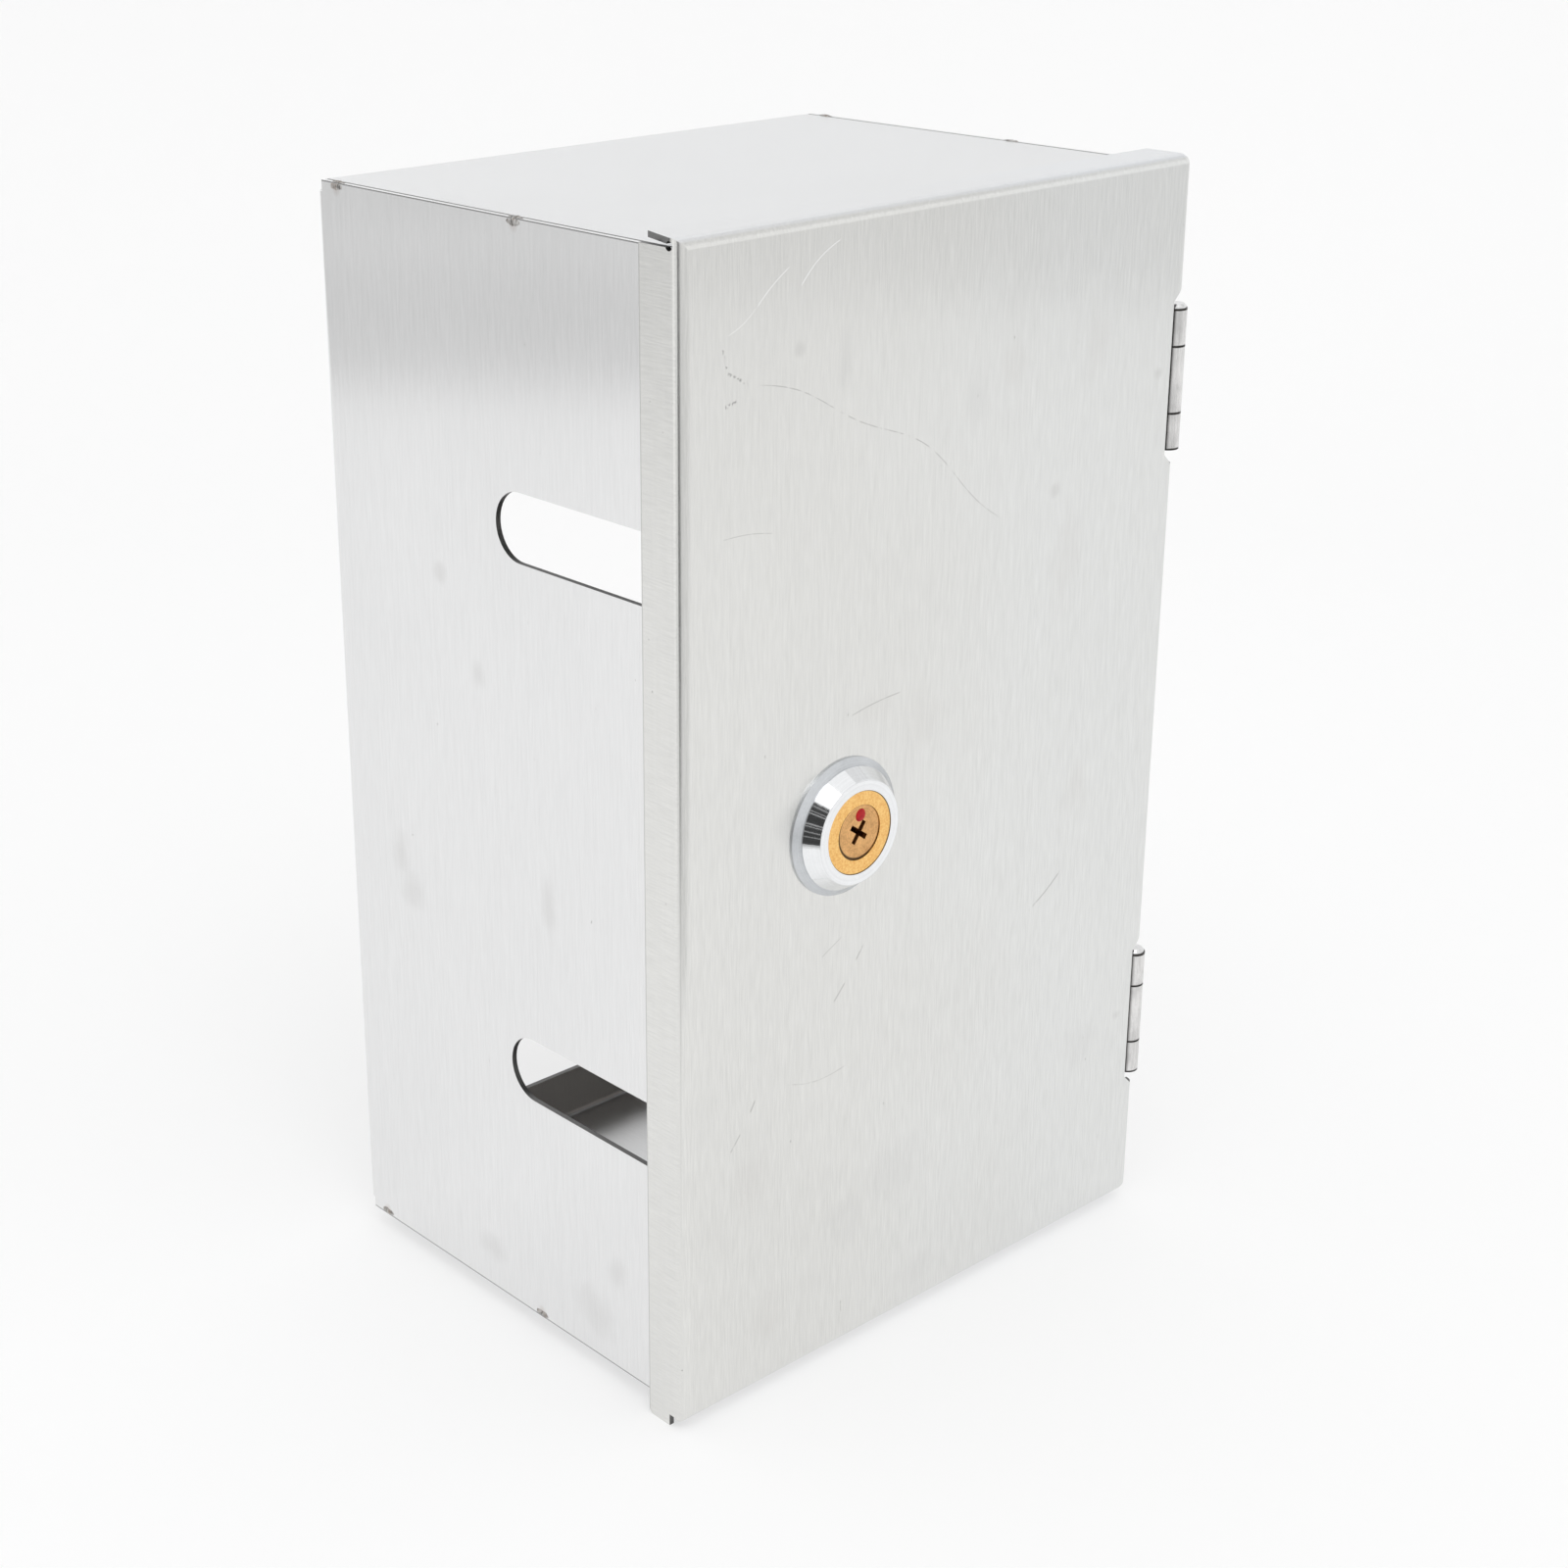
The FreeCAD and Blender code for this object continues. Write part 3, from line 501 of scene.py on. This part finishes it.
def make_materials():
    """Every finish by the record's slot name."""
    # Painted shade of the gap round the plug, a dark crescent thickest at its lower left
    plug_gap_shade = 4.87
    core_rim = 7.4
    satin = turned_metal("satin_chrome", grey(0.52, -0.03), grey(0.68, -0.03), 0.30, rings=0.6, blotch=0.3)
    chrome = turned_metal("lock_chrome", grey(0.82, -0.012), grey(0.92, -0.012), 0.07, rings=0.7, blotch=0.2)
    brass = turned_metal("lock_brass", (0.82, 0.42, 0.12, 1.0), (1.0, 0.68, 0.27, 1.0), 0.34, blotch=0.2,
                         joint_lines_and_gap_shade=[(core_rim, 0.16, 0.0)])
    plug = turned_metal("plug_brass", (0.44, 0.23, 0.09, 1.0), (0.92, 0.54, 0.23, 1.0), 0.34, rings=0.5,
                        blotch=0.3, joint_lines_and_gap_shade=[(plug_gap_shade, 0.36, 0.16)])
    pins = turned_metal("pin_brass", (0.55, 0.34, 0.12, 1.0), (0.85, 0.60, 0.26, 1.0), 0.28, blotch=0.4)
    return {
        "brushed_body": make_brushed_body(),
        "brushed_door": make_brushed_door(),
        "weld_bead": make_weld_bead(),
        "inner_steel": plain_steel("inner_steel", grey(0.50), grey(0.68), 0.36, 0.5 * MM, 20.0),
        "hinge_steel": make_hinge_steel(),
        "hinge_pin_steel": plain_steel("hinge_pin_steel", grey(0.70), grey(0.86), 0.2, 0.3 * MM, 3.0),
        "satin_chrome": satin,
        "lock_chrome": chrome,
        "lock_brass": brass,
        "plug_brass": plug,
        "pin_brass": pins,
        "spring_steel": plain_steel("spring_steel", grey(0.42), grey(0.62), 0.3, 0.3 * MM),
        "zinc_steel": plain_steel("zinc_steel", grey(0.52, 0.02), grey(0.72, -0.02), 0.38, 0.8 * MM),
    }


def dress_nodes(materials):
    """Gives each CAD node its slot's finish."""
    for row in frame["record"]["subparts"]:
        mesh = frame["nodes"][row["node"]].data
        mesh.materials.clear()
        mesh.materials.append(materials[row["material_slot"]])


# Raw edges of the sheet

def smooth_regions(mesh, crease):
    """Groups of faces that meet at less than the crease angle, and the faces at each side of the mesh."""
    sides = {}
    for face in mesh.polygons:
        corners = [tuple(round(value / same_point) for value in mesh.vertices[n].co) for n in face.vertices]
        for first, second in zip(corners, corners[1:] + corners[:1]):
            sides.setdefault(frozenset((first, second)), []).append(face.index)
    region = list(range(len(mesh.polygons)))

    def root(n):
        while region[n] != n:
            region[n] = region[region[n]]
            n = region[n]
        return n

    for faces in sides.values():
        for other in faces[1:]:
            turn = mesh.polygons[faces[0]].normal.dot(mesh.polygons[other].normal)
            if turn > math.cos(crease):
                region[root(other)] = root(faces[0])
    groups = {}
    for n in range(len(region)):
        groups.setdefault(root(n), []).append(n)
    return groups.values(), sides


def paint_cut_edges(node, material):
    """Puts the raw-edge finish on the faces of a sheet part that are only as wide as the sheet is thick.

    The box's level edges keep the brushed finish, because they end flush with its top and bottom.
    """
    mesh = frame["nodes"][node].data
    mesh.materials.append(material)
    groups, sides = smooth_regions(mesh, sheet_crease)
    owner = {face: number for number, group in enumerate(groups) for face in group}
    rims = [0.0] * len(owner)
    for side, faces in sides.items():
        ends = list(side)
        if len(ends) < 2:
            continue
        length = (Vector(ends[0]) - Vector(ends[1])).length * same_point
        for face in faces:
            if sum(owner[other] == owner[face] for other in faces) == 1:
                rims[owner[face]] += length
    for number, group in enumerate(groups):
        area = sum(mesh.polygons[n].area for n in group)
        level = all(abs(mesh.polygons[n].normal.z) > 0.9 for n in group)
        flush = level and node == "body_shell"
        if rims[number] and 2 * area / rims[number] < 1.1 * sheet and not flush:
            for n in group:
                mesh.polygons[n].material_index = 1


# Added pieces

def add_mesh(name, bm, material, body):
    mesh = bpy.data.meshes.new(name)
    bm.to_mesh(mesh)
    bm.free()
    mesh.materials.append(material)
    piece = bpy.data.objects.new(name, mesh)
    bpy.context.collection.objects.link(piece)
    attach(piece, body)
    return piece


def make_weld_beads(material):
    """Boat-shaped beads of cooled weld that dip over the wall's outer edge, in place of the plain welds."""
    half_length = 2.7 * MM
    half_width = 0.82 * MM
    half_height = 0.92 * MM
    inset = 0.62 * MM
    drop = 0.70 * MM
    ripple_depth = 0.06
    ripples = 9
    lump_depth = 0.14
    lump_size = 0.7 * MM
    stations = 24
    steps = 18
    bm = bmesh.new()
    for place, inward, down in weld_places():
        middle = place + Vector((inward * inset, 0, down * drop))
        rows = []
        for station in range(1, stations):
            share = 2 * station / stations - 1
            swell = math.sqrt(1 - share * share) * (1 + ripple_depth * math.sin(ripples * math.pi * share))
            row = []
            for step in range(steps):
                turn = 2 * math.pi * step / steps
                side = Vector((math.cos(turn) * half_width, 0, math.sin(turn) * half_height)) * swell
                point = middle + side + Vector((0, share * half_length, 0))
                lump = 1 + lump_depth * noise.noise(point / lump_size)
                row.append(bm.verts.new(middle + side * lump + Vector((0, share * half_length, 0))))
            rows.append(row)
        for lower, upper in zip(rows, rows[1:]):
            for n in range(steps):
                bm.faces.new((lower[n], lower[(n + 1) % steps], upper[(n + 1) % steps], upper[n]))
        for row, end in ((rows[0], -half_length), (rows[-1], half_length)):
            tip = bm.verts.new(middle + Vector((0, end, 0)))
            for n in range(steps):
                bm.faces.new((row[n], row[(n + 1) % steps], tip))
    bmesh.ops.recalc_face_normals(bm, faces=bm.faces)
    for face in bm.faces:
        face.smooth = True
    beads = add_mesh("corner_weld_beads", bm, material, "box")
    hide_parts("corner_tack_welds")


def make_barrel_thread(material):
    """Thread on the lock's barrel behind its nut: a helical ridge on both round sides between the flats."""
    barrel_radius = 9.25 * MM
    pitch = 1.0 * MM
    crest = 0.26 * MM
    half_crest = 0.10 * MM
    half_foot = 0.44 * MM
    sunk = 0.05 * MM
    nut_gap = 0.75 * MM
    end_gap = 2.0 * MM
    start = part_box("lock_nut")[1].y + nut_gap
    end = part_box("lock_shell")[1].y - end_gap
    reach = math.radians(58)
    run_out = 1 / 6
    steps = 28
    bm = bmesh.new()
    for side in (0.0, math.pi):
        for turn in range(int((end - start) / pitch)):
            rows = []
            for step in range(steps + 1):
                share = 2 * step / steps - 1
                angle = side + share * reach
                out = Vector((math.sin(angle), 0, math.cos(angle)))
                axis = Vector((lock_x, start + pitch * (turn + angle / (2 * math.pi)), lock_z))
                top = barrel_radius + crest * min(1.0, (1 - abs(share)) / run_out)
                profile = ((barrel_radius - sunk, -half_foot), (top, -half_crest), (top, half_crest),
                           (barrel_radius - sunk, half_foot))
                places = [axis + out * radius + Vector((0, along, 0)) for radius, along in profile]
                rows.append([bm.verts.new(place) for place in places])
            for lower, upper in zip(rows, rows[1:]):
                for n in range(4):
                    bm.faces.new((lower[n], lower[(n + 1) % 4], upper[(n + 1) % 4], upper[n]))
            bm.faces.new(rows[0])
            bm.faces.new(rows[-1])
    bmesh.ops.recalc_face_normals(bm, faces=bm.faces)
    add_mesh("lock_barrel_thread", bm, material, "door")


def make_index_mark(material):
    """A drop of red enamel on the plug's face, above the keyway."""
    right = 0.4 * MM
    above = 3.0 * MM
    centre = Vector((lock_x + right, plug_low.y, lock_z + above))
    radius = 1.15 * MM
    raggedness = 0.07
    height = 0.22 * MM
    sunk = 0.05 * MM
    rings = 6
    steps = 28
    bm = bmesh.new()
    rows = []
    for ring in range(rings):
        tilt = math.pi / 2 * ring / rings
        row = []
        for step in range(steps):
            turn = 2 * math.pi * step / steps
            ragged = 1 + raggedness * noise.noise(Vector((math.cos(turn), math.sin(turn), 0.4)))
            reach = radius * math.cos(tilt) * ragged
            row.append(bm.verts.new(centre + Vector((reach * math.cos(turn), -height * math.sin(tilt),
                                                     reach * math.sin(turn)))))
        rows.append(row)
    rows.insert(0, [bm.verts.new(v.co + Vector((0, sunk, 0))) for v in rows[0]])
    top = bm.verts.new(centre - Vector((0, height, 0)))
    foot = bm.verts.new(centre + Vector((0, sunk, 0)))
    for lower, upper in zip(rows, rows[1:]):
        for n in range(steps):
            bm.faces.new((lower[n], lower[(n + 1) % steps], upper[(n + 1) % steps], upper[n]))
    for n in range(steps):
        bm.faces.new((rows[-1][n], rows[-1][(n + 1) % steps], top))
        bm.faces.new((rows[0][(n + 1) % steps], rows[0][n], foot))
    bmesh.ops.recalc_face_normals(bm, faces=bm.faces)
    for face in bm.faces:
        face.smooth = True
    add_mesh("plug_index_mark", bm, material, "plug")


# Camera and studio

def camera_axes():
    """The camera's right, up and backward directions."""
    back = Vector((math.sin(camera_azimuth) * math.cos(camera_elevation),
                   -math.cos(camera_azimuth) * math.cos(camera_elevation), math.sin(camera_elevation)))
    right = (-back).cross(Vector((0, 0, 1))).normalized()
    up = right.cross(-back)
    turned_right = math.cos(camera_roll) * right + math.sin(camera_roll) * up
    turned_up = math.cos(camera_roll) * up - math.sin(camera_roll) * right
    return turned_right, turned_up, back


def place_camera():
    data = bpy.data.cameras.new("camera")
    data.sensor_width = sensor_width
    data.lens = focal_pixels / image_size * sensor_width
    data.shift_x = 0.5 - centre_pixel_x / image_size
    data.shift_y = centre_pixel_y / image_size - 0.5
    camera = bpy.data.objects.new("camera", data)
    bpy.context.collection.objects.link(camera)
    rotation = Matrix(camera_axes()).transposed().to_4x4()
    camera.matrix_world = Matrix.Translation(camera_place) @ rotation
    bpy.context.scene.camera = camera


def studio_point(u, w, z):
    """A point of the studio: u to the camera's right and w away from it, both level, and z up."""
    right = camera_axes()[0]
    right = Vector((right.x, right.y, 0)).normalized()
    forward = Vector((-right.y, right.x, 0))
    return right * u + forward * w + Vector((0, 0, z))


def add_stage(name, points, faces, material, camera_sees=True):
    mesh = bpy.data.meshes.new(name)
    mesh.from_pydata(points, [], faces)
    mesh.materials.append(material)
    for face in mesh.polygons:
        face.use_smooth = True
    thing = bpy.data.objects.new(name, mesh)
    bpy.context.collection.objects.link(thing)
    thing.visible_camera = camera_sees


def seen_rays(nodes, links):
    """1 for rays that see the background: camera, glossy and transmission rays."""
    path = nodes.new("ShaderNodeLightPath")
    total = path.outputs["Is Camera Ray"]
    for name in ("Is Glossy Ray", "Is Transmission Ray"):
        most = nodes.new("ShaderNodeMath")
        most.operation = "MAXIMUM"
        links.new(total, most.inputs[0])
        links.new(path.outputs[name], most.inputs[1])
        total = most.outputs[0]
    return total


def make_floor_material():
    """Pale floor: half plain diffuse, which takes the shadow, and half background white."""
    material = bpy.data.materials.new("pale_floor")
    material.use_nodes = True
    nodes = material.node_tree.nodes
    links = material.node_tree.links
    nodes.clear()
    output = nodes.new("ShaderNodeOutputMaterial")
    diffuse = nodes.new("ShaderNodeBsdfDiffuse")
    diffuse.inputs["Color"].default_value = grey(floor_white)
    white = nodes.new("ShaderNodeEmission")
    white.inputs["Strength"].default_value = 1.0
    share = nodes.new("ShaderNodeMath")
    share.operation = "MULTIPLY"
    share.inputs[1].default_value = background_share
    links.new(seen_rays(nodes, links), share.inputs[0])
    mix = nodes.new("ShaderNodeMixShader")
    links.new(share.outputs[0], mix.inputs[0])
    links.new(diffuse.outputs[0], mix.inputs[1])
    links.new(white.outputs[0], mix.inputs[2])
    links.new(mix.outputs[0], output.inputs[0])
    return material


def make_card_material(name, level):
    """A studio card of one grey with a few pale level streaks, which shows only in reflections."""
    shader = Shader(name)
    streak_length = 2.0
    streak_height = 0.045
    streaks = shader.noise((streak_length, streak_length, streak_height), detail=1.0)
    streaks = shader.spread(streaks, 0.60, 0.66)
    colour = shader.mix(streaks, grey(level), grey(0.5 + 0.5 * level))
    glow = shader.node("Emission", {"Color": colour})
    shader.feed(shader.nodes["Material Output"].inputs["Surface"], glow.outputs[0])
    return shader.material


def make_stage():
    floor = make_floor_material()
    steps = 12
    profile = [(table_near, 0.0)]
    for n in range(steps + 1):
        turn = math.pi / 2 * n / steps
        profile.append((table_far - sweep_radius + sweep_radius * math.sin(turn),
                        sweep_radius - sweep_radius * math.cos(turn)))
    profile.append((table_far, sweep_height))
    points = [studio_point(u, w, z) for w, z in profile for u in (table_left, table_right)]
    faces = [(2 * n, 2 * n + 1, 2 * n + 3, 2 * n + 2) for n in range(len(profile) - 1)]
    add_stage("floor", points, faces, floor)
    # Each card: its grey, its two ends seen from above, and its lower and upper edges
    cards = {
        "left_room": (0.71, [(-1.6, -0.55), (-1.6, 1.6)], -1.4, 0.30),
        "right_room": (0.84, [(1.8, -1.4), (1.8, 1.4)], -1.4, 0.30),
        "dark_front": (0.05, [(-0.61, -1.09), (-0.24, -1.23)], -0.42, 1.24),
        "camera_side": (0.80, [(-1.6, -1.3), (1.8, -1.3)], -1.4, 0.02),
        "upper_right": (0.78, [(0.6, 0.95), (1.4, -0.15)], 0.80, 1.80),
    }
    for name, (level, ends, low, high) in cards.items():
        corners = [studio_point(u, w, z) for z in (low, high) for u, w in ends]
        add_stage(name + "_card", corners, [(0, 1, 3, 2)], make_card_material(name, level), camera_sees=False)


def make_world():
    """Even white all round: the background, what the metal reflects and the fill light."""
    world = bpy.data.worlds.new("studio")
    bpy.context.scene.world = world
    world.use_nodes = True
    background = world.node_tree.nodes["Background"]
    background.inputs["Color"].default_value = grey(1.0)
    background.inputs["Strength"].default_value = 1.0


def make_key_light():
    """A soft light aimed square at the box; radiance 1 is as bright as white paper in this scene."""
    data = bpy.data.lights.new("key_softbox", "AREA")
    data.shape = "RECTANGLE"
    data.size = key_width
    data.size_y = key_height
    data.energy = key_radiance * math.pi * key_width * key_height
    lamp = bpy.data.objects.new("key_softbox", data)
    bpy.context.collection.objects.link(lamp)
    place = (body_low + body_high) / 2 + key_direction * key_distance
    rotation = key_direction.to_track_quat("Z", "Y").to_matrix().to_4x4()
    lamp.matrix_world = Matrix.Translation(place) @ rotation
    lamp.visible_camera = False


materials = make_materials()
dress_nodes(materials)
cut_edge = make_cut_edge()
for part in ("body_shell", "door_panel"):
    paint_cut_edges(part, cut_edge)
make_weld_beads(materials["weld_bead"])
make_barrel_thread(materials["lock_chrome"])
make_index_mark(make_red_enamel())
make_stage()
make_world()
make_key_light()
place_camera()
bpy.context.scene.view_settings.view_transform = "Standard"
